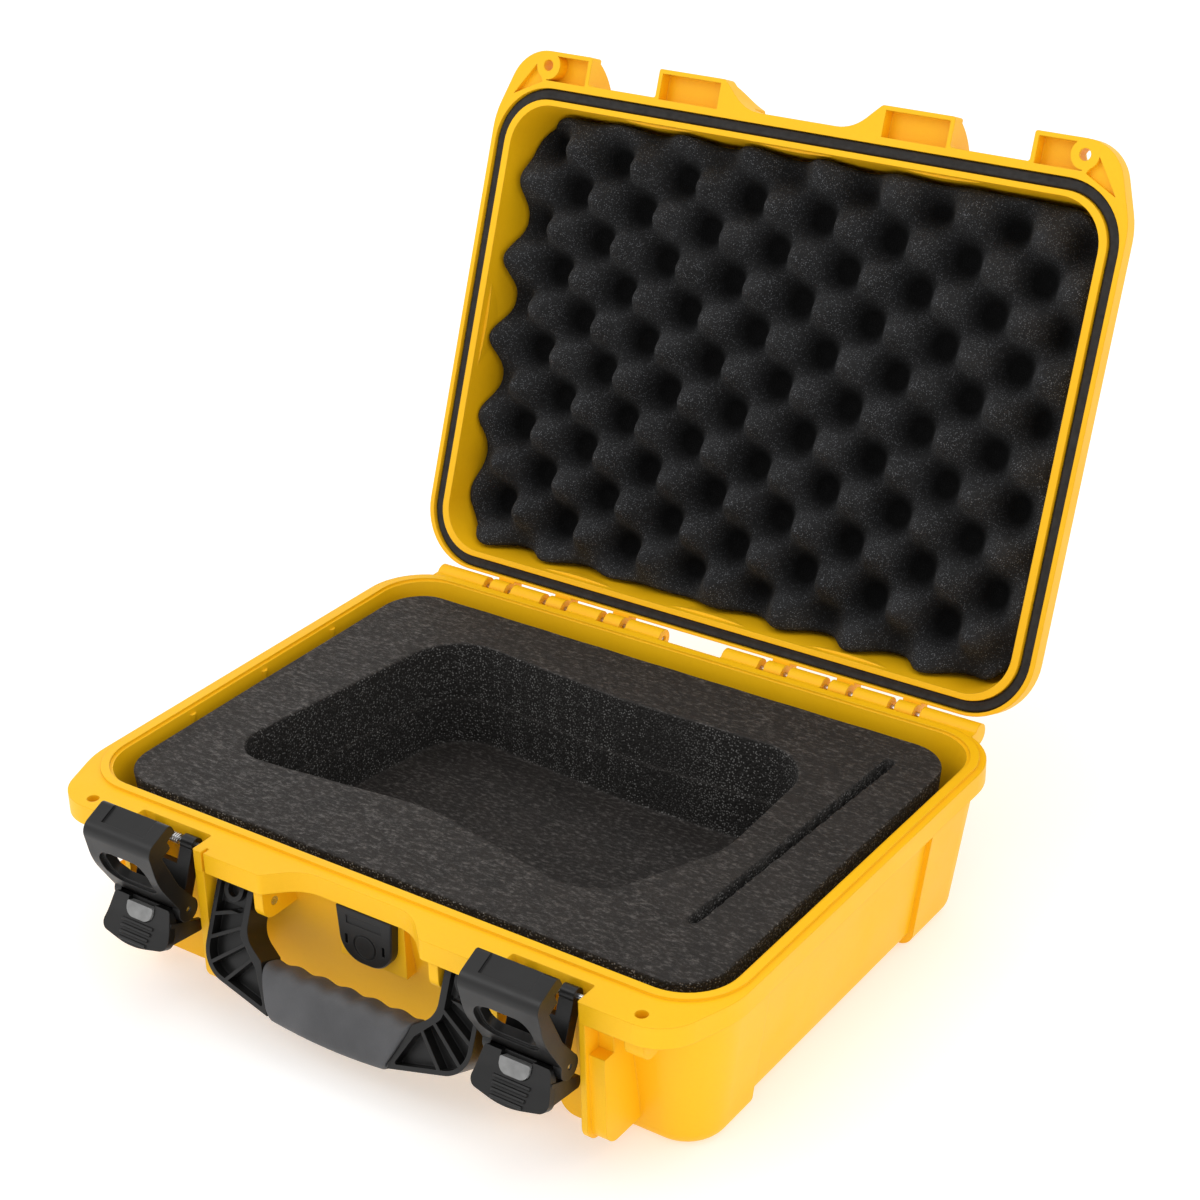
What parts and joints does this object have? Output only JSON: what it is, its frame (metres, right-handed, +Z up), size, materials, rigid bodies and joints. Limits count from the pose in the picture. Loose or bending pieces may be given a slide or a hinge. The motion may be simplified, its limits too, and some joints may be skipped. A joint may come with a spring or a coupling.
{
  "type": "hard carrying case",
  "caption": "Yellow hard carrying case standing open, with foam inserts, black claw latches, a swinging carry handle, a pressure valve and padlock ears.",
  "frame": {"origin": "floor level under the middle of the shell", "axes": "+X to the right along the front, +Y from the front to the hinge, +Z up"},
  "size_m": [0.424, 0.5144, 0.4053],
  "materials": {
    "case_yellow": "fine-textured moulded resin, satin",
    "black_plastic": "satin moulded nylon",
    "grip_rubber": "soft-touch grip",
    "lock_grey": "satin grey slide",
    "gasket_rubber": "matt",
    "lid_foam": "open-cell foam",
    "base_foam": "closed-cell foam with a fibrous cut face",
    "membrane": "matt",
    "steel": "bright"
  },
  "bodies": {
    "base": {"base_shell": "case_yellow", "base_foam_top": "base_foam", "base_foam_side": "base_foam", "base_foam_spacer_front": "base_foam", "base_foam_spacer_rear": "base_foam", "base_foam_bottom": "base_foam", "valve_body": "black_plastic", "valve_seal": "gasket_rubber", "valve_membrane": "membrane", "hinge_pin_left": "steel", "hinge_pin_right": "steel", "handle_pin_left": "steel", "handle_pin_right": "steel", "latch_left_rod": "steel", "latch_right_rod": "steel", "latch_left_spring": "steel", "latch_right_spring": "steel"},
    "lid": {"lid_shell": "case_yellow", "lid_gasket": "gasket_rubber", "lid_foam": "lid_foam"},
    "handle": {"handle_frame": "black_plastic", "handle_grip": "grip_rubber"},
    "lever_left": {"latch_left_lever": "black_plastic", "latch_left_claw_pin": "steel"},
    "claw_left": {"latch_left_claw": "black_plastic"},
    "lock_left": {"latch_left_lock": "lock_grey"},
    "lever_right": {"latch_right_lever": "black_plastic", "latch_right_claw_pin": "steel"},
    "claw_right": {"latch_right_claw": "black_plastic"},
    "lock_right": {"latch_right_lock": "lock_grey"}
  },
  "joints": [
    {"name": "lid_hinge", "type": "hinge", "parent": "base", "child": "lid", "pos_m": [0, 0.1593, 0.09465], "axis": [1, 0, 0], "range_deg": [0, 110.2]},
    {"name": "handle_swing", "type": "hinge", "parent": "base", "child": "handle", "pos_m": [0, -0.1605, 0.075], "axis": [-1, 0, 0], "range_deg": [0, 68]},
    {"name": "latch_left_lever_swing", "type": "hinge", "parent": "base", "child": "lever_left", "pos_m": [-0.12305, -0.162, 0.092], "axis": [1, 0, 0], "range_deg": [-30, 22]},
    {"name": "latch_left_claw_swing", "type": "hinge", "parent": "lever_left", "child": "claw_left", "pos_m": [-0.12305, -0.179, 0.06328], "axis": [-1, 0, 0], "range_deg": [0, 46]},
    {"name": "latch_left_lock_slide", "type": "slide", "parent": "lever_left", "child": "lock_left", "axis": [0, 0.3746, 0.9272], "range_m": [0, 0.003]},
    {"name": "latch_right_lever_swing", "type": "hinge", "parent": "base", "child": "lever_right", "pos_m": [0.12305, -0.162, 0.092], "axis": [1, 0, 0], "range_deg": [-30, 22]},
    {"name": "latch_right_claw_swing", "type": "hinge", "parent": "lever_right", "child": "claw_right", "pos_m": [0.12305, -0.179, 0.06328], "axis": [-1, 0, 0], "range_deg": [0, 46]},
    {"name": "latch_right_lock_slide", "type": "slide", "parent": "lever_right", "child": "lock_right", "axis": [0, 0.3746, 0.9272], "range_m": [0, 0.003]}
  ]
}
